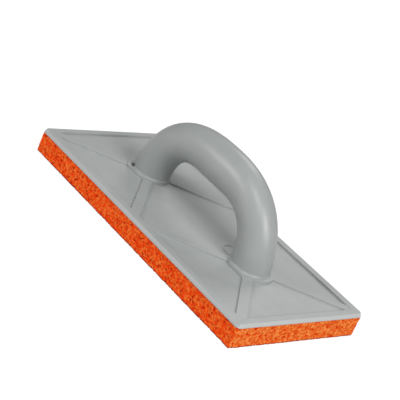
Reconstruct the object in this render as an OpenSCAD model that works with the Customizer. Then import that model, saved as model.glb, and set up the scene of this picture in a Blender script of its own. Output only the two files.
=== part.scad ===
// Grout float: a sponge pad glued under a ribbed plastic plate, with a closed hollow grip
// Origin: centre of the sponge's working face. +X runs along the float, +Z up through the grip.

/* [Float] */
// Length of the plate
float_length = 280; // [240:5:340]
// Width of the plate
float_width = 140; // [120:5:170]
// Radius of the plate's corners
corner_radius = 4; // [2:0.5:6]

/* [Sponge] */
// Thickness of the sponge pad
sponge_thickness = 18; // [8:1:30]
// How far the sponge's sides stand in from the plate's edge
sponge_inset = 0.4; // [0.2:0.1:3]
// Radius of the sponge's cut corners
sponge_corner = 1; // [0.5:0.5:4]
// Thickness of the glue between sponge and plate
glue_thickness = 0.3; // [0.2:0.1:0.8]

/* [Plate] */
// Thickness of the plate at its border
plate_thickness = 3.5; // [3:0.1:6]
// Depth of the panels below the border
panel_depth = 1.9; // [0.6:0.1:2.4]
// Width of the border along the float's long sides
border_width = 8; // [5:0.5:12]
// Width of the border along its short sides
end_border_width = 7; // [4:0.2:12]
// Width of the diagonal ribs
rib_width = 8.4; // [5:0.2:12]
// Height of the ribs above the panels
rib_height = 1.4; // [0.5:0.1:1.9]
// Width of the bevel around the plate's top edge
edge_bevel = 1.2; // [0.3:0.1:1.9]
// Height of that bevel
edge_drop = 2.6; // [0.5:0.1:2.8]
// Height of the seats under the grip, above the border
seat_height = 0.6; // [0.4:0.1:1.5]
// Radius of a seat's outer end
seat_radius = 21.5; // [20:0.5:24]
// Half width of a seat, across the float
seat_half_width = 18.6; // [18:0.1:20]
// Distance from the float's centre to the round end of the nose beside the right foot
nose_x = 44.8; // [44:0.2:47]
// Half width of that nose
nose_radius = 6.2; // [5.6:0.1:6.8]
// Radius of the dimple in the nose
dimple_radius = 5.2; // [3:0.1:5.4]
// Depth of the dimple
dimple_depth = 0.5; // [0.3:0.1:1.5]
// Length of the slot beside the left foot
slot_length = 7.6; // [4:0.2:8]
// Width of the slot
slot_width = 4; // [3:0.1:4.4]
// Depth of the slot below the seat
slot_depth = 2.4; // [1:0.1:3]
// Height of the slot's undercut in the front shell
slot_rise = 2.4; // [0.6:0.1:2.6]

/* [Grip] */
// Distance from the float's centre to the centre of a foot
foot_x = 70.5; // [66:0.5:80]
// Height of the grip's centreline at the crown, above the plate's border
grip_height = 52.4; // [45:0.2:60]
// Half height of the grip's section at the crown
crown_radius = 18; // [16:0.1:19]
// Half length of the grip's section at a foot
foot_radius = 17.6; // [16:0.1:18]
// Pull of the section's size along the leg: smaller makes slimmer shoulders
shoulder_radius = 15; // [14:0.1:18]
// Half width of the section across the float, as a share of its other half
section_ratio = 0.92; // [0.9:0.01:1]
// Inward lean of the leg, as the sideways pull of the centreline's curve
leg_lean = 5; // [0:0.5:8]
// Height of that pull above the foot
leg_rise = 56.8; // [50:0.2:62]
// How far the crown's flat stretch pulls the curve out from the middle
crown_reach = 13.2; // [8:0.2:20]
// Flare of the grip where it meets its seat
foot_flare = 1.2; // [0.4:0.1:1.8]
// Height of the flare
flare_height = 1.8; // [1:0.1:4]

/* [Shells] */
// Wall of the two grip shells
wall = 2.6; // [2.2:0.1:3.2]
// Thickness of the stiffening ribs inside the shells
web = 1.8; // [1.4:0.1:2.4]
// Thickness of the floor that closes each foot
foot_floor = 3; // [2.4:0.2:4]
// Radius of the locating pins between the shells
pin_radius = 1.5; // [1.2:0.1:1.8]
// How far a locating pin stands out of the back shell
pin_length = 4; // [3:0.5:6]
// Radius of the bosses that hold the pins and their sockets
pin_boss_radius = 3.4; // [3:0.1:4]

/* [Screws] */
// Distance of each screw from the seam between the shells
screw_y = 8; // [7:0.2:8.4]
// Length of a screw, head included
screw_length = 16; // [12:1:18]
// Radius of the screw's shank
screw_radius = 1.6; // [1.4:0.1:1.8]
// Radius of the countersunk head
screw_head_radius = 4.1; // [3.6:0.1:4.4]
// Radius of the clearance hole through the plate
screw_hole_radius = 2.2; // [2:0.1:2.6]
// Radius of the screw bosses inside the grip
screw_boss_radius = 3.8; // [3.6:0.1:4]

/* [Hidden] */

$fn = 72;
grey = [0.66, 0.67, 0.67];
orange = [0.93, 0.35, 0.13];
steel = [0.72, 0.73, 0.74];
glue_cream = [0.86, 0.8, 0.62];

plate_bottom = sponge_thickness + glue_thickness;
border_top = plate_bottom + plate_thickness;
panel_top = border_top - panel_depth;
seat_top = border_top + seat_height;
// Cuts run this far past the faces that they cut
over = 1;

// Which side of the middle a foot is on, along X
LEFT = -1;
RIGHT = 1;

// Direction of the slot from the left foot's centre, and the distance to its near side
slot_turn = -130;
slot_reach = foot_radius - 3.2;

// Half of the grip's centreline, from a foot to the crown, as four Bezier controls:
// distance from the middle, height above the seat, half height of the section
half_grip = [
    [foot_x, 0, foot_radius],
    [foot_x - leg_lean, leg_rise, shoulder_radius],
    [crown_reach, grip_height - seat_height, crown_radius],
    [0, grip_height - seat_height, crown_radius]
];
// Sections along half the grip, and the steps round a shell's wall
half_steps = 26;
wall_steps = 14;
// Sections crowd towards the foot by this power, where the flare is
crowding = 1.6;
// Share of the curve over which the sections turn from level to square with it
levelling = 0.15;
// Where the stiffening ribs and the locating pins are, along each half
rib_stations = [0.18, 0.42, 0.7];
pin_stations = [0.42];

function bezier(p, t) =
    pow(1 - t, 3) * p[0] + 3 * pow(1 - t, 2) * t * p[1] + 3 * (1 - t) * t * t * p[2] + pow(t, 3) * p[3];
function bezier_slope(p, t) =
    pow(1 - t, 2) * (p[1] - p[0]) + 2 * (1 - t) * t * (p[2] - p[1]) + t * t * (p[3] - p[2]);
// Angle of the centreline from upright: 0 on a straight leg, 90 at the crown
function lean_at(t) = let (d = bezier_slope(half_grip, t)) atan2(-d[0], d[1]);
function section_lean(t) = lean_at(t) * min(1, t / levelling);
function flare_at(height) = foot_flare * pow(max(0, 1 - height / flare_height), 2);

// One point of a section: t along the curve, angle from the outside, inward by inset
function grip_point(side, t, angle, inset) =
    let (c = bezier(half_grip, t),
         r = c[2] + flare_at(c[1]) - inset,
         across = (c[2] + flare_at(c[1])) * section_ratio - inset,
         lean = section_lean(t))
    [side * (c[0] + r * cos(angle) * cos(lean)),
     across * sin(angle),
     seat_top + c[1] + r * cos(angle) * sin(lean)];

// A shell's C-shaped section: outer wall out and round, inner wall back
function shell_ring(side, t, hand) = concat(
    [for (i = [0:wall_steps]) grip_point(side, t, hand * 180 * i / wall_steps, 0)],
    [for (i = [wall_steps:-1:0]) grip_point(side, t, hand * 180 * i / wall_steps, wall)]);

function half_stations() = [for (i = [0:half_steps]) pow(i / half_steps, crowding)];

// Rounded rectangle, centred
module rounded_rect(length, width, radius) {
    square([length - 2 * radius, width], center = true);
    square([length, width - 2 * radius], center = true);
    for (x = [-1, 1], y = [-1, 1])
        translate([x * (length / 2 - radius), y * (width / 2 - radius)]) circle(radius);
}

// Plan of the seat under one foot
module seat_plan(side) {
    translate([side * foot_x, 0]) {
        circle(seat_half_width);
        intersection() {
            circle(seat_radius);
            translate([side > 0 ? 0 : -seat_radius, -seat_half_width])
                square([seat_radius, 2 * seat_half_width]);
        }
    }
}

// Plan of the round-ended nose on the inner side of the right foot's seat
module nose_plan() {
    translate([nose_x, 0]) circle(nose_radius);
    translate([nose_x, -nose_radius]) square([foot_x - nose_x, 2 * nose_radius]);
}

// Diagonal ribs that cross under both feet, as long as the inside of the border
module rib_plan() {
    reach = float_width;
    intersection() {
        square([float_length - end_border_width, float_width - border_width], center = true);
        for (side = [LEFT, RIGHT], turn = [45, -45])
            translate([side * foot_x, 0]) rotate(turn) square([2 * reach, rib_width], center = true);
    }
}

// End view of the plate across the given width, with both top edges bevelled
module slab_profile(width) {
    shoulder = plate_thickness - edge_drop;
    half = width / 2;
    polygon([[-half, 0], [half, 0], [half, shoulder], [half - edge_bevel, plate_thickness],
             [edge_bevel - half, plate_thickness], [-half, shoulder]]);
}

// The plate with its bevelled top edge: one bar each way, and a bevelled disc at each corner
module plate_slab() {
    shoulder = plate_thickness - edge_drop;
    inner_length = float_length - 2 * corner_radius;
    inner_width = float_width - 2 * corner_radius;
    translate([0, 0, plate_bottom]) {
        rotate([90, 0, 90]) linear_extrude(inner_length, center = true) slab_profile(float_width);
        rotate([90, 0, 0]) linear_extrude(inner_width, center = true) slab_profile(float_length);
        for (x = [-1, 1], y = [-1, 1])
            translate([x * inner_length / 2, y * inner_width / 2]) {
                cylinder(r = corner_radius, h = shoulder);
                translate([0, 0, shoulder])
                    cylinder(r1 = corner_radius, r2 = corner_radius - edge_bevel, h = edge_drop);
            }
    }
}

// Slot beside the left foot: it runs down into the seat, and up into the foot of the front shell
module slot_cut() {
    translate([-foot_x, 0, seat_top - slot_depth])
        rotate(slot_turn) translate([slot_reach, -slot_length / 2, 0])
            cube([slot_width, slot_length, slot_depth + slot_rise]);
}

// Clearance hole and countersink for one screw, from below
module screw_hole() {
    cylinder(r = screw_hole_radius, h = plate_thickness + seat_height + 2 * over);
    translate([0, 0, -over]) cylinder(r = screw_head_radius, h = over);
    cylinder(r1 = screw_head_radius, r2 = screw_hole_radius, h = screw_head_radius - screw_hole_radius);
}

module backing_plate() {
    color(grey)
    difference() {
        union() {
            difference() {
                plate_slab();
                translate([0, 0, panel_top])
                    linear_extrude(panel_depth + over)
                        rounded_rect(float_length - 2 * end_border_width,
                                     float_width - 2 * border_width, 2);
            }
            translate([0, 0, panel_top - over])
                linear_extrude(rib_height + over) rib_plan();
            for (side = [LEFT, RIGHT])
                translate([0, 0, panel_top - over])
                    linear_extrude(seat_top - panel_top + over) seat_plan(side);
            translate([0, 0, panel_top - over])
                linear_extrude(rib_height + over) nose_plan();
        }
        for (side = [LEFT, RIGHT], y = [-screw_y, screw_y])
            translate([side * foot_x, y, plate_bottom]) screw_hole();
        translate([nose_x, 0, panel_top + rib_height - dimple_depth])
            cylinder(r = dimple_radius, h = dimple_depth + over);
        slot_cut();
    }
}

// Half disc that lies in a shell's section at t, square with the centreline
module section_web(side, t, hand, radius, thickness) {
    c = bezier(half_grip, t);
    translate([side * c[0], 0, seat_top + c[1]])
        rotate([0, -side * section_lean(t), 0])
            translate([0, 0, -thickness / 2])
                rotate(hand > 0 ? 0 : 180)
                    rotate_extrude(angle = 180) square([radius, thickness]);
}

// Swept C-shaped channel, from the right foot over the crown to the left foot
module shell_channel(hand) {
    up = half_stations();
    down = [for (i = [half_steps - 1:-1:0]) up[i]];
    rings = concat([for (t = up) shell_ring(RIGHT, t, hand)],
                   [for (t = down) shell_ring(LEFT, t, hand)]);
    n = len(rings[0]);
    last = len(rings) - 1;
    points = [for (ring = rings) for (p = ring) p];
    // Triangles between neighbouring sections, then four-sided faces across the wall at both ends
    sides = [for (k = [0:last - 1], i = [0:n - 1])
        let (a = k * n + i, b = k * n + (i + 1) % n) each [[a, b, b + n], [a, b + n, a + n]]];
    near_end = [for (i = [0:wall_steps - 1]) [n - 1 - i, n - 2 - i, i + 1, i]];
    far_end = [for (f = near_end) [for (i = [3:-1:0]) last * n + f[i]]];
    faces = concat(sides, near_end, far_end);
    polyhedron(points, hand < 0 ? faces : [for (f = faces) [for (i = [len(f) - 1:-1:0]) f[i]]]);
}

// Channel, ribs, foot floors, screw bosses and pin bosses. hand: -1 front, 1 back
module grip_shell(hand) {
    difference() {
        union() {
            shell_channel(hand);
            for (side = [LEFT, RIGHT]) {
                for (t = rib_stations)
                    section_web(side, t, hand, bezier(half_grip, t)[2] * section_ratio - 0.7, web);
                for (t = pin_stations) pin_boss(side, t, hand);
                translate([side * foot_x, 0, seat_top])
                    rotate(hand > 0 ? 0 : 180)
                        rotate_extrude(angle = 180)
                            square([foot_radius * section_ratio - 0.7, foot_floor]);
                translate([side * foot_x, hand * screw_y, seat_top])
                    cylinder(r = screw_boss_radius, h = screw_length - plate_thickness + 2);
            }
            section_web(RIGHT, 1, hand, crown_radius * section_ratio - 0.7, web);
            pin_boss(RIGHT, 1, hand);
            if (hand > 0) {
                for (side = [LEFT, RIGHT], t = pin_stations) locating_pin(side, t, pin_radius, pin_length);
                locating_pin(RIGHT, 1, pin_radius, pin_length);
            }
        }
        if (hand < 0) {
            for (side = [LEFT, RIGHT], t = pin_stations)
                locating_pin(side, t, pin_radius + 0.05, pin_length + 0.5);
            locating_pin(RIGHT, 1, pin_radius + 0.05, pin_length + 0.5);
            slot_cut();
        }
        for (side = [LEFT, RIGHT])
            translate([side * foot_x, hand * screw_y, seat_top - over])
                cylinder(r = screw_radius, h = screw_length - plate_thickness + over);
    }
}

// Boss from the seam to the wall, at the centreline
module pin_boss(side, t, hand) {
    c = bezier(half_grip, t);
    translate([side * c[0], 0, seat_top + c[1]])
        rotate([-hand * 90, 0, 0])
            cylinder(r = pin_boss_radius, h = c[2] * section_ratio - 1);
}

// Pin that stands out of the back shell's boss into the front shell's socket
module locating_pin(side, t, radius, length) {
    c = bezier(half_grip, t);
    translate([side * c[0], over, seat_top + c[1]])
        rotate([90, 0, 0]) cylinder(r = radius, h = length + over);
}

module grip_shell_front() { color(grey) grip_shell(-1); }
module grip_shell_back() { color(grey) grip_shell(1); }

// Countersunk screw, point up, with its head flush with the plate's underside
module grip_screw(side, hand) {
    head = screw_head_radius - screw_hole_radius;
    tip = 2.5;
    recess_width = 0.9;
    recess_depth = 1.3;
    color(steel)
    translate([side * foot_x, hand * screw_y, plate_bottom])
    difference() {
        union() {
            cylinder(r1 = screw_head_radius, r2 = screw_hole_radius, h = head);
            cylinder(r = screw_radius, h = screw_length - tip);
            translate([0, 0, screw_length - tip]) cylinder(r1 = screw_radius, r2 = 0.4, h = tip);
        }
        for (turn = [0, 90])
            rotate(turn)
                translate([-screw_head_radius / 2, -recess_width / 2, -over])
                    cube([screw_head_radius, recess_width, recess_depth + over]);
    }
}

module grip_screw_left_front() { grip_screw(LEFT, -1); }
module grip_screw_left_back() { grip_screw(LEFT, 1); }
module grip_screw_right_front() { grip_screw(RIGHT, -1); }
module grip_screw_right_back() { grip_screw(RIGHT, 1); }

module glue_layer() {
    color(glue_cream)
    translate([0, 0, sponge_thickness])
        linear_extrude(glue_thickness)
            rounded_rect(float_length - 4 * sponge_inset, float_width - 4 * sponge_inset, corner_radius);
}

module sponge_pad() {
    color(orange)
    linear_extrude(sponge_thickness)
        rounded_rect(float_length - 2 * sponge_inset, float_width - 2 * sponge_inset, sponge_corner);
}

backing_plate();
grip_shell_front();
grip_shell_back();
grip_screw_left_front();
grip_screw_left_back();
grip_screw_right_front();
grip_screw_right_back();
glue_layer();
sponge_pad();
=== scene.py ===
import math

import bpy
import numpy as np
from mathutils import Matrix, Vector


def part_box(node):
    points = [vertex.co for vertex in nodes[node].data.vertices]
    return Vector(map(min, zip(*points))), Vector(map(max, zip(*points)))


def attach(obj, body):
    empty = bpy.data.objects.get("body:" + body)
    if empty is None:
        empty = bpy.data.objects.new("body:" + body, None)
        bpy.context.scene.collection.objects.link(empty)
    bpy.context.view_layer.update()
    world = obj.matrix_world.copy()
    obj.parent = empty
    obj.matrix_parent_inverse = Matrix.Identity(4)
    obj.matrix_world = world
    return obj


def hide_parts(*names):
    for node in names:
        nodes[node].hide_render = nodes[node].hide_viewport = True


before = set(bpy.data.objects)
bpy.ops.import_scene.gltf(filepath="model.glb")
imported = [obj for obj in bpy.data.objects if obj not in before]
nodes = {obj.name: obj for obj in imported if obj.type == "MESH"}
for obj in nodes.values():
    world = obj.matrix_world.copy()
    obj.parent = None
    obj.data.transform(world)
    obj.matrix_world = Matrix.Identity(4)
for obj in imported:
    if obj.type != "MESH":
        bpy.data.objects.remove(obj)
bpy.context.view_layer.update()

MM = 0.001
rng = np.random.default_rng(7)



def size_mm(name):
    """Length, width and height of a CAD node, in millimetres."""
    node_low, node_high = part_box(name)
    return [round((node_high[i] - node_low[i]) / MM, 2) for i in range(3)]


# Dimensions in millimetres, taken from the CAD part
LENGTH, WIDTH, _ = size_mm("backing_plate")
SPONGE_LENGTH, _, SPONGE_T = size_mm("sponge_pad")
SPONGE_INSET = round((LENGTH - SPONGE_LENGTH) / 2, 2)
SEAT_TOP = round(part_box("backing_plate")[1][2] / MM, 2)

# Dimensions in millimetres that repeat the CAD part's own
SPONGE_CORNER = 1.0
WALL = 2.6
SECTION_RATIO = 0.92
FLARE, FLARE_HEIGHT = 1.2, 1.8
LEVELLING = 0.15
# Half of the centreline as Bezier controls: distance from the middle, height, half height of the section
HALF_GRIP = np.array([[70.5, 0, 17.6], [65.5, 56.8, 15], [13.2, 51.8, 18], [0, 51.8, 18]])
# The slot beside the left foot undercuts the front half: direction from the foot's centre, reach and size
SLOT_TURN = math.radians(-130)
SLOT_REACH, SLOT_LENGTH, SLOT_RISE = 14.4, 7.6, 2.4
# Half the depth of the slot's inner end that is painted near black as shade
SLOT_SHADE = 0.9

# Looks, in millimetres: the seam's rounded edge, and a mid value of the section's radius
SEAM_EDGE, SECTION_MID = 0.10, 17.0


# ---------------------------------------------------------------- meshes

def new_mesh(name, points, faces, smooth=True):
    """A mesh object from points in millimetres."""
    mesh = bpy.data.meshes.new(name)
    mesh.from_pydata((np.asarray(points, float) * MM).tolist(), [], faces)
    mesh.polygons.foreach_set("use_smooth", [smooth] * len(mesh.polygons))
    mesh.update()
    obj = bpy.data.objects.new(name, mesh)
    bpy.context.scene.collection.objects.link(obj)
    return obj


def grip_centre(t):
    """Centreline point, half height of the section and lean of the section, at t from foot to crown."""
    b = np.array([(1 - t) ** 3, 3 * (1 - t) ** 2 * t, 3 * (1 - t) * t * t, t ** 3])
    s = np.array([(1 - t) ** 2, 2 * (1 - t) * t, t * t])
    c = b @ HALF_GRIP
    d = s @ (HALF_GRIP[1:] - HALF_GRIP[:-1])
    lean = math.atan2(-d[0], d[1]) * min(1.0, t / LEVELLING)
    return c, lean


def grip_ring(side, t, hand, angles, insets):
    """One section of a half grip, in millimetres. The front half's left foot is cut back at the slot."""
    (cx, cz, r0), lean = grip_centre(t)
    r = r0 + FLARE * max(0.0, 1 - cz / FLARE_HEIGHT) ** 2
    out = (r - insets) * np.cos(angles)
    across = (r * SECTION_RATIO - insets) * np.sin(angles)
    x = side * (cx + out * math.cos(lean))
    y = hand * np.maximum(across, 0.01)
    z = SEAT_TOP + cz + out * math.sin(lean)
    if side < 0 and hand < 0 and cz < SLOT_RISE:
        from_foot = x + HALF_GRIP[0, 0]
        away = from_foot * math.cos(SLOT_TURN) + y * math.sin(SLOT_TURN)
        along = y * math.cos(SLOT_TURN) - from_foot * math.sin(SLOT_TURN)
        push = np.where(abs(along) < SLOT_LENGTH / 2, np.maximum(0, away - SLOT_REACH), 0)
        x, y = x - push * math.cos(SLOT_TURN), y - push * math.sin(SLOT_TURN)
    return np.stack([x, y, z], 1)


def grip_shell(name, hand, around=56, along=150):
    """One half of the hollow grip: outer wall, rounded seam edges and inner wall, swept foot to foot."""
    a = np.linspace(0, math.pi, around + 1)
    lip = np.array([0.0, 0.35, 0.75]) * SEAM_EDGE / SECTION_MID
    outer_angles = np.concatenate([lip, a[1:-1], math.pi - lip[::-1]])
    reach = np.minimum(outer_angles, math.pi - outer_angles) * SECTION_MID
    rounded = SEAM_EDGE - np.sqrt(np.maximum(0, SEAM_EDGE ** 2 - (SEAM_EDGE - reach) ** 2))
    outer_insets = np.where(reach < SEAM_EDGE, rounded, 0)
    inner_angles = np.linspace(math.pi, 0, around // 2 + 1)
    angles = np.concatenate([outer_angles, inner_angles])
    insets = np.concatenate([outer_insets, np.full(len(inner_angles), WALL)])
    steps = (np.arange(along + 1) / along) ** 1.5
    rings = [grip_ring(1, t, hand, angles, insets) for t in steps]
    rings += [grip_ring(-1, t, hand, angles, insets) for t in steps[-2::-1]]
    n = len(angles)
    points = np.concatenate(rings)
    faces = []
    for k in range(len(rings) - 1):
        for i in range(n):
            j = (i + 1) % n
            f = (k * n + i, k * n + j, (k + 1) * n + j, (k + 1) * n + i)
            faces.append(f[::-1] if hand < 0 else f)
    # C-shaped faces that close both feet
    for k, turn in ((0, 1), (len(rings) - 1, -1)):
        f = [k * n + i for i in range(n)]
        faces.append(tuple(f if turn * hand < 0 else f[::-1]))
    return new_mesh(name, points, faces)


def smooth_noise(nu, nv, cell_u, cell_v, wrap_u=False):
    """Seeded value noise on a grid, about -1 to 1, with features cell_u by cell_v steps."""
    cu, cv = max(2, int(nu / cell_u)) + 1, max(2, int(nv / cell_v)) + 2
    lattice = rng.uniform(-1, 1, (cu + 1, cv + 1))
    if wrap_u:
        lattice[-1] = lattice[0]
    u = np.linspace(0, cu, nu, endpoint=not wrap_u)
    v = np.linspace(0, cv, nv)
    iu, iv = np.minimum(u.astype(int), cu - 1), np.minimum(v.astype(int), cv - 1)
    fu, fv = u - iu, v - iv
    fu, fv = fu * fu * (3 - 2 * fu), fv * fv * (3 - 2 * fv)
    a = lattice[np.ix_(iu, iv)] * (1 - fu)[:, None] + lattice[np.ix_(iu + 1, iv)] * fu[:, None]
    b = lattice[np.ix_(iu, iv + 1)] * (1 - fu)[:, None] + lattice[np.ix_(iu + 1, iv + 1)] * fu[:, None]
    return a * (1 - fv)[None, :] + b * fv[None, :]


def carve(u, v, span, per_mm2, sizes, wrap=False):
    """Depth of the pores on a grid of surface points, in millimetres. u and v are the grid's coordinates,
    span is their range, and sizes are (share, smallest radius, largest radius)."""
    depth = np.zeros((len(u), len(v)))
    area = (span[1] - span[0]) * (v[-1] - v[0])
    count = int(area * per_mm2)
    shares = np.array([s[0] for s in sizes])
    kinds = rng.choice(len(sizes), count, p=shares / shares.sum())
    for kind in kinds:
        r = rng.uniform(sizes[kind][1], sizes[kind][2])
        cu, cv = rng.uniform(span[0], span[1]), rng.uniform(v[0] - 0.6, v[-1] + 0.6)
        stretch = rng.uniform(0.75, 1.3)
        turn = rng.uniform(0, math.pi)
        p2, p3, p5 = rng.uniform(0, 2 * math.pi, 3)
        for shift in ((0, span[1] - span[0], span[0] - span[1]) if wrap else (0,)):
            iu = np.nonzero(abs(u - cu - shift) < 1.6 * r)[0]
            iv = np.nonzero(abs(v - cv) < 1.6 * r)[0]
            if not len(iu) or not len(iv):
                continue
            du, dv = (u[iu] - cu - shift)[:, None], (v[iv] - cv)[None, :]
            x = (du * math.cos(turn) + dv * math.sin(turn)) * stretch
            y = (dv * math.cos(turn) - du * math.sin(turn)) / stretch
            phi = np.arctan2(y, x)
            wobble = (1 + 0.16 * np.sin(2 * phi + p2) + 0.12 * np.sin(3 * phi + p3)
                      + 0.07 * np.sin(5 * phi + p5))
            q = np.sqrt(x * x + y * y) / (r * wobble)
            d = 0.85 * r * np.sqrt(np.maximum(0, 1 - q * q)) ** 0.8
            block = depth[np.ix_(iu, iv)]
            depth[np.ix_(iu, iv)] = np.maximum(block, d)
    return depth


def sponge(name, nx=250, ny=124, nz=32):
    """The sponge pad: dense sides and working face with real pores, and a flat top under the glue."""
    half_l, half_w = LENGTH / 2 - SPONGE_INSET, WIDTH / 2 - SPONGE_INSET
    # Outline, anticlockwise from the low corner, with twice the working face's steps
    xs = np.linspace(-half_l, half_l, 2 * nx + 1)
    ys = np.linspace(-half_w, half_w, 2 * ny + 1)
    outline = np.concatenate([
        np.stack([xs[:-1], np.full(2 * nx, -half_w)], 1),
        np.stack([np.full(2 * ny, half_l), ys[:-1]], 1),
        np.stack([xs[:0:-1], np.full(2 * nx, half_w)], 1),
        np.stack([np.full(2 * ny, -half_l), ys[:0:-1]], 1)])
    n = len(outline)
    # Round the vertical corners and find each point's outward direction
    core = np.clip(outline, [-half_l + SPONGE_CORNER, -half_w + SPONGE_CORNER],
                   [half_l - SPONGE_CORNER, half_w - SPONGE_CORNER])
    outward = outline - core
    outward /= np.linalg.norm(outward, axis=1)[:, None]
    outline = core + outward * SPONGE_CORNER
    ring_s = np.concatenate([[0], np.cumsum(np.linalg.norm(np.diff(outline, axis=0), axis=1))])
    around = ring_s[-1] + np.linalg.norm(outline[0] - outline[-1])

    z = np.linspace(0, SPONGE_T, nz + 1)
    sizes = [(0.62, 0.34, 0.55), (0.31, 0.55, 0.85), (0.07, 0.85, 1.25)]
    depth = carve(ring_s, z, (0, around), 0.34, sizes, wrap=True)
    rough = 0.10 * smooth_noise(n, nz + 1, 3, 3, True) + 0.08 * smooth_noise(n, nz + 1, 14, 9, True)
    side_in = depth + 0.16 + rough
    side_in[:, -1] *= 0.5
    # The cut edge round the working face is slightly rounded, and painted dark there as shade
    lip = np.maximum(0, 1 - z / 0.9) ** 2 * 0.35
    edge_shade_depth = 2.6 * np.maximum(0, 1 - z / 1.3)
    side_in += lip[None, :]
    side = np.zeros((nz + 1, n, 3))
    side[:, :, :2] = outline[None] - outward[None] * side_in.T[:, :, None]
    side[:, :, 2] = z[:, None]

    gx, gy = np.linspace(-half_l, half_l, nx + 1), np.linspace(-half_w, half_w, ny + 1)
    face_depth = carve(gx, gy, (-half_l, half_l), 0.14, sizes)
    fade = np.minimum(1, np.minimum((half_l - abs(gx))[:, None], (half_w - abs(gy))[None, :]) / 1.2)
    face_z = (face_depth + 0.10 + 0.08 * smooth_noise(nx + 1, ny + 1, 2.5, 2.5)) * fade
    grid = np.stack([np.repeat(gx[:, None], ny + 1, 1), np.repeat(gy[None], nx + 1, 0), face_z], 2)

    points = [side.reshape(-1, 3)]
    pore = [np.maximum(depth, edge_shade_depth[None, :]).T.reshape(-1)]
    inner_at = (nz + 1) * n
    inner = grid[1:-1, 1:-1].reshape(-1, 3)
    points.append(inner)
    pore.append((face_depth * fade)[1:-1, 1:-1].reshape(-1))

    def index(i, j):
        """Vertex of the working face's grid: on the outline at its rim, else one of its own."""
        if j == 0:
            return 2 * i if i < nx else 2 * nx
        if i == nx:
            return 2 * nx + 2 * j
        if j == ny:
            return 2 * nx + 2 * ny + 2 * (nx - i)
        if i == 0:
            return 4 * nx + 2 * ny + 2 * (ny - j)
        return inner_at + (i - 1) * (ny - 1) + j - 1

    faces = []
    for k in range(nz):
        base = k * n
        for i in range(n):
            j = (i + 1) % n
            faces.append((base + i, base + j, base + n + j, base + n + i))
    for i in range(nx):
        for j in range(ny):
            f = [index(i, j)]
            if i == 0:
                f.append((f[-1] - 1) % n)
            f.append(index(i, j + 1))
            if j == ny - 1:
                f.append((f[-1] - 1) % n)
            f.append(index(i + 1, j + 1))
            if i == nx - 1:
                f.append(f[-1] - 1)
            f.append(index(i + 1, j))
            if j == 0:
                f.append(f[-1] - 1)
            faces.append(tuple(f))
    faces.append(tuple(nz * n + i for i in range(n)))
    obj = new_mesh(name, np.concatenate(points), faces)
    attribute = obj.data.attributes.new("pore", "FLOAT", "POINT")
    attribute.data.foreach_set("value", np.concatenate(pore).astype(np.float32))
    return obj


# ---------------------------------------------------------------- materials

def new_material(name):
    mat = bpy.data.materials.new(name)
    mat.use_nodes = True
    tree = mat.node_tree
    return mat, tree, tree.nodes["Principled BSDF"]


def node(tree, kind, inputs=None, **settings):
    made = tree.nodes.new(kind)
    for key, value in settings.items():
        setattr(made, key, value)
    for key, value in (inputs or {}).items():
        if isinstance(value, bpy.types.NodeSocket):
            tree.links.new(value, made.inputs[key])
        else:
            made.inputs[key].default_value = value
    return made


def noise(tree, vector, scale, detail=3.0, roughness=0.5):
    return node(tree, "ShaderNodeTexNoise",
                {"Vector": vector, "Scale": scale, "Detail": detail, "Roughness": roughness}).outputs["Fac"]


def ramp(tree, fac, *stops):
    made = node(tree, "ShaderNodeValToRGB", {"Fac": fac})
    while len(made.color_ramp.elements) < len(stops):
        made.color_ramp.elements.new(0.5)
    for element, (at, colour) in zip(made.color_ramp.elements, stops):
        element.position = at
        element.color = (*colour, 1)
    return made.outputs["Color"]


def calc(tree, operation, *values):
    return node(tree, "ShaderNodeMath", dict(enumerate(values)), operation=operation).outputs["Value"]


def remap(tree, value, start, end, low=0.0, high=1.0):
    """Maps start..end to low..high, and holds the ends."""
    return node(tree, "ShaderNodeMapRange", {"Value": value, "From Min": start, "From Max": end,
                                             "To Min": low, "To Max": high}).outputs["Result"]


def spread(tree, fac, low, high):
    """Maps about the middle half of a noise to low..high."""
    return remap(tree, fac, 0.3, 0.7, low, high)


def mix(tree, fac, a, b):
    """Colour mix of sockets or colours a and b."""
    made = tree.nodes.new("ShaderNodeMix")
    made.data_type = "RGBA"
    for socket, value in ((made.inputs[0], fac), (made.inputs[6], a), (made.inputs[7], b)):
        if isinstance(value, bpy.types.NodeSocket):
            tree.links.new(value, socket)
        else:
            socket.default_value = value
    return made.outputs[2]


def slot_shade_mask(tree, at):
    """1 on the walls of the slot beside the left foot, which are painted near black as shade, and 0
    elsewhere.
    """
    local = node(tree, "ShaderNodeMapping", {"Vector": at}, vector_type="TEXTURE")
    local.inputs["Location"].default_value = (-HALF_GRIP[0, 0] * MM, 0, SEAT_TOP * MM)
    local.inputs["Rotation"].default_value = (0, 0, SLOT_TURN)
    place = node(tree, "ShaderNodeSeparateXYZ", {"Vector": local.outputs["Vector"]})
    inside = 1.0
    bounds = (("X", SLOT_REACH + SLOT_SHADE, SLOT_SHADE), ("Y", 0, SLOT_LENGTH / 2),
              ("Z", 0, SLOT_RISE + 0.1))
    for axis, middle, half in bounds:
        near = calc(tree, "COMPARE", place.outputs[axis], middle * MM, half * MM)
        inside = calc(tree, "MULTIPLY", near, inside)
    return inside


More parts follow.
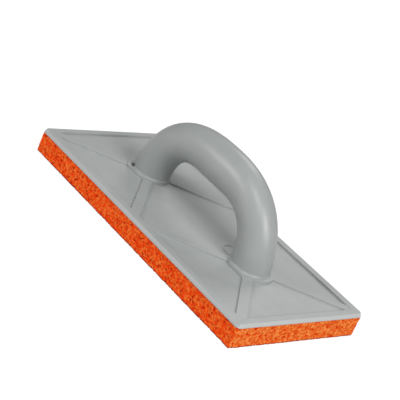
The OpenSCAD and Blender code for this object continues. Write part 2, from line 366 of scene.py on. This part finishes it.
def plastic(name, shade, rough, grain, bevel, highlight_above, lit_rim=()):
    """Light grey moulded plastic: faint flow mottling, fine grained skin and softened edges. Edges higher
    than highlight_above, in metres, get a patchy painted highlight. So does the lit rim, given as (axis, half
    size, how much) rows."""
    mat, tree, bsdf = new_material(name)
    at = node(tree, "ShaderNodeTexCoord").outputs["Object"]
    mottle = noise(tree, at, 45, 4, 0.6)
    fine = noise(tree, at, 900, 2, 0.6)
    dark = tuple(c * 0.955 for c in shade)
    light = tuple(min(1, c * 1.04) for c in shade)
    colour = ramp(tree, mottle, (0.3, dark), (0.7, light))
    soft_edge = node(tree, "ShaderNodeBevel", {"Radius": bevel}, samples=8).outputs["Normal"]
    flat = node(tree, "ShaderNodeNewGeometry").outputs["Normal"]
    along = node(tree, "ShaderNodeVectorMath", {0: soft_edge, 1: flat}, operation="DOT_PRODUCT")
    # Raised edges get a patchy painted highlight, and the lit rim below gets one too
    edge = remap(tree, along.outputs["Value"], 0.995, 0.90)
    place = node(tree, "ShaderNodeSeparateXYZ", {"Vector": at})
    high = remap(tree, place.outputs["Z"], highlight_above, highlight_above + 0.0005)
    patchy = spread(tree, noise(tree, at, 160, 3, 0.6), 0.1, 1.0)
    painted_highlight = calc(tree, "MULTIPLY", calc(tree, "MULTIPLY", edge, high), patchy)
    for axis, half, much in lit_rim:
        off = calc(tree, "ABSOLUTE", place.outputs[axis])
        outside = remap(tree, off, half - 0.0004, half, 0.0, much)
        painted_highlight = calc(tree, "MAXIMUM", painted_highlight, outside)
    # Paler tone painted on as a highlight
    highlight_tone = tuple(min(1, c * 1.3) for c in shade)
    # The walls of the slot beside the left foot are painted near black, as shade
    slot_shade_tone = tuple(c * 0.12 for c in shade)
    highlighted = mix(tree, painted_highlight, colour, (*highlight_tone, 1))
    tree.links.new(mix(tree, slot_shade_mask(tree, at), highlighted, (*slot_shade_tone, 1)), bsdf.inputs["Base Color"])
    tree.links.new(spread(tree, fine, rough - 0.05, rough + 0.06), bsdf.inputs["Roughness"])
    skin = node(tree, "ShaderNodeBump",
                {"Strength": grain, "Distance": 0.00004, "Height": fine, "Normal": soft_edge})
    waves = noise(tree, at, 60, 1)
    sag = node(tree, "ShaderNodeBump", {"Strength": 0.25, "Distance": 0.0002, "Height": waves,
                                        "Normal": skin.outputs["Normal"]})
    tree.links.new(sag.outputs["Normal"], bsdf.inputs["Normal"])
    bsdf.inputs["IOR"].default_value = 1.5
    return mat


def sponge_rubber(name):
    """Orange sponge: pores are painted dark red as shade, the more with their depth, and the skin has finer
    pores of its own, painted dark the same way.
    """
    mat, tree, bsdf = new_material(name)
    at = node(tree, "ShaderNodeTexCoord").outputs["Object"]
    depth = node(tree, "ShaderNodeAttribute", attribute_name="pore").outputs["Fac"]
    cell = node(tree, "ShaderNodeTexVoronoi", {"Vector": at, "Scale": 750.0, "Randomness": 1.0})
    small = cell.outputs["Distance"]
    tone = noise(tree, at, 400, 3, 0.6)
    # The long sides take the darker tone and the short ends a lighter, yellower one: painted light on the
    # ends
    side = ramp(tree, tone, (0.40, (0.94, 0.056, 0.0035)), (0.5, (0.96, 0.105, 0.010)),
                (0.60, (0.99, 0.20, 0.032)))
    end = ramp(tree, tone, (0.40, (0.76, 0.095, 0.008)), (0.5, (0.84, 0.18, 0.028)),
               (0.60, (0.93, 0.30, 0.070)))
    normal = node(tree, "ShaderNodeNewGeometry").outputs["True Normal"]
    facing = node(tree, "ShaderNodeSeparateXYZ", {"Vector": normal})
    end_light_share = remap(tree, calc(tree, "ABSOLUTE", facing.outputs["X"]), 0.55, 0.85)
    body = mix(tree, end_light_share, side, end)
    # Pores and the skin's fine cells are painted dark red as shade, deeper pores darker
    deep = remap(tree, depth, 0.12, 0.95)
    holes = remap(tree, small, 0.12, 0.34, 0.55, 0.0)
    dark = calc(tree, "MAXIMUM", deep, holes)
    # Values above any pore's depth mark the rim of the working face, painted dark as shade
    painted_edge_shade = remap(tree, depth, 1.2, 2.0)
    with_pore_shade = mix(tree, dark, body, (0.52, 0.018, 0.001, 1))
    tree.links.new(mix(tree, painted_edge_shade, with_pore_shade, (0.16, 0.012, 0.001, 1)), bsdf.inputs["Base Color"])
    tree.links.new(spread(tree, tone, 0.82, 0.97), bsdf.inputs["Roughness"])
    cells = node(tree, "ShaderNodeBump", {"Strength": 0.7, "Distance": 0.0003, "Height": small})
    crumbs = noise(tree, at, 1400, 3, 0.7)
    crumb = node(tree, "ShaderNodeBump", {"Strength": 0.5, "Distance": 0.0003, "Height": crumbs,
                                          "Normal": cells.outputs["Normal"]})
    tree.links.new(crumb.outputs["Normal"], bsdf.inputs["Normal"])
    bsdf.inputs["Specular IOR Level"].default_value = 0.05
    return mat


def zinc(name):
    """Zinc-plated steel with fine streaks."""
    mat, tree, bsdf = new_material(name)
    at = node(tree, "ShaderNodeTexCoord").outputs["Object"]
    streaks = noise(tree, at, 1800, 3, 0.6)
    tree.links.new(ramp(tree, noise(tree, at, 400, 2), (0.3, (0.62, 0.63, 0.66)), (0.7, (0.78, 0.78, 0.77))),
                   bsdf.inputs["Base Color"])
    tree.links.new(spread(tree, streaks, 0.24, 0.42), bsdf.inputs["Roughness"])
    bump = node(tree, "ShaderNodeBump", {"Strength": 0.25, "Distance": 0.00002, "Height": streaks})
    tree.links.new(bump.outputs["Normal"], bsdf.inputs["Normal"])
    bsdf.inputs["Metallic"].default_value = 1.0
    return mat


def adhesive(name):
    """Dried cream glue, clotted and half glossy."""
    mat, tree, bsdf = new_material(name)
    at = node(tree, "ShaderNodeTexCoord").outputs["Object"]
    clots = noise(tree, at, 180, 4, 0.6)
    tree.links.new(ramp(tree, clots, (0.3, (0.62, 0.50, 0.26)), (0.7, (0.78, 0.69, 0.44))),
                   bsdf.inputs["Base Color"])
    tree.links.new(spread(tree, clots, 0.35, 0.6), bsdf.inputs["Roughness"])
    bump = node(tree, "ShaderNodeBump", {"Strength": 0.6, "Distance": 0.0002, "Height": clots})
    tree.links.new(bump.outputs["Normal"], bsdf.inputs["Normal"])
    return mat


def paper(name, glow):
    """Matt white ground. glow lifts it as a lit sweep does."""
    mat, tree, bsdf = new_material(name)
    at = node(tree, "ShaderNodeTexCoord").outputs["Object"]
    tree.links.new(ramp(tree, noise(tree, at, 3, 2), (0.3, (0.29, 0.29, 0.29)), (0.7, (0.31, 0.31, 0.31))),
                   bsdf.inputs["Base Color"])
    bsdf.inputs["Roughness"].default_value = 0.9
    bsdf.inputs["Specular IOR Level"].default_value = 0.1
    bsdf.inputs["Emission Color"].default_value = (1, 1, 1, 1)
    bsdf.inputs["Emission Strength"].default_value = glow
    return mat


def dress(obj, mat):
    obj.data.materials.clear()
    obj.data.materials.append(mat)


# ---------------------------------------------------------------- the object

# The plate's rim gets a painted highlight in its outermost millimetre, strongest at its short ends
RIM_INSET = 1.0
plate_lit_rim = (("X", (LENGTH / 2 - RIM_INSET) * MM, 0.9), ("Y", (WIDTH / 2 - RIM_INSET) * MM, 0.35))
plate_mat = plastic("plate_plastic", (0.388, 0.405, 0.397), 0.5, 0.35, 0.0004, 0.0205, lit_rim=plate_lit_rim)
grip_mat = plastic("grip_plastic", (0.358, 0.375, 0.368), 0.36, 0.3, 0.0002, 0.0240)
zinc_mat, glue_mat, sponge_mat = zinc("zinc"), adhesive("adhesive"), sponge_rubber("sponge_rubber")

dress(nodes["backing_plate"], plate_mat)
dress(nodes["glue_layer"], glue_mat)
for screw in (n for n in nodes if n.startswith("grip_screw")):
    dress(nodes[screw], zinc_mat)

for label, hand in (("front", -1), ("back", 1)):
    shell = grip_shell("grip_half_" + label, hand)
    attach(shell, "root")
    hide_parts("grip_shell_" + label)
    dress(shell, grip_mat)

pad = sponge("sponge_block")
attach(pad, "root")
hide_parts("sponge_pad")
dress(pad, sponge_mat)


# ---------------------------------------------------------------- the studio

def ground(name, depth, glow, reach=7.0):
    """A wide floor just below the float, in metres."""
    corners = [(x * reach, y * reach, -depth) for x, y in ((-1, -1), (1, -1), (1, 1), (-1, 1))]
    mesh = bpy.data.meshes.new(name)
    mesh.from_pydata(corners, [], [(0, 1, 2, 3)])
    obj = bpy.data.objects.new(name, mesh)
    bpy.context.scene.collection.objects.link(obj)
    mesh.materials.append(paper(name, glow))
    return obj


# The floor is overexposed to white for the camera, while the light that it throws back is a dimmer floor's
white_floor = ground("studio_floor", 0.0003, 0.80)
white_floor.visible_diffuse = white_floor.visible_glossy = False
white_floor.visible_transmission = white_floor.visible_shadow = False
bounce_floor = ground("studio_bounce", 0.0006, 0.42)
bounce_floor.visible_camera = False

world = bpy.data.worlds.new("studio")
bpy.context.scene.world = world
world.use_nodes = True
world.node_tree.nodes["Background"].inputs["Color"].default_value = (1, 1, 1, 1)
world.node_tree.nodes["Background"].inputs["Strength"].default_value = 0.16


def softbox(name, azimuth, elevation, power, size=0.9, distance=2.2):
    """Round softbox that faces the float, at an angle from +X and above the floor."""
    a, e = math.radians(azimuth), math.radians(elevation)
    at = Vector((math.cos(a) * math.cos(e), math.sin(a) * math.cos(e), math.sin(e))) * distance
    data = bpy.data.lights.new(name, "AREA")
    data.shape = "DISK"
    data.size = size
    data.energy = power
    light = bpy.data.objects.new(name, data)
    light.location = at
    light.rotation_mode = "QUATERNION"
    light.rotation_quaternion = (Vector((0, 0, 0.04)) - at).to_track_quat("-Z", "Y")
    bpy.context.scene.collection.objects.link(light)


# Name, azimuth and elevation in degrees, power in watts
for lamp in (("key_low", 5, 25, 7.0), ("key_high", -10, 40, 22.0), ("front_high", -60, 60, 12.8),
             ("front_left", -120, 25, 13.6), ("back_left", 120, 40, 8.6)):
    softbox(*lamp)

camera = bpy.data.objects.new("camera", bpy.data.cameras.new("camera"))
camera.data.sensor_width = 36.0
camera.data.lens = 116.32
camera.location = (0.64329, -0.72871, 0.45380)
camera.rotation_euler = [math.radians(a) for a in (64.829, -21.966, 51.683)]
bpy.context.scene.collection.objects.link(camera)
bpy.context.scene.camera = camera
bpy.context.scene.view_settings.view_transform = "Standard"
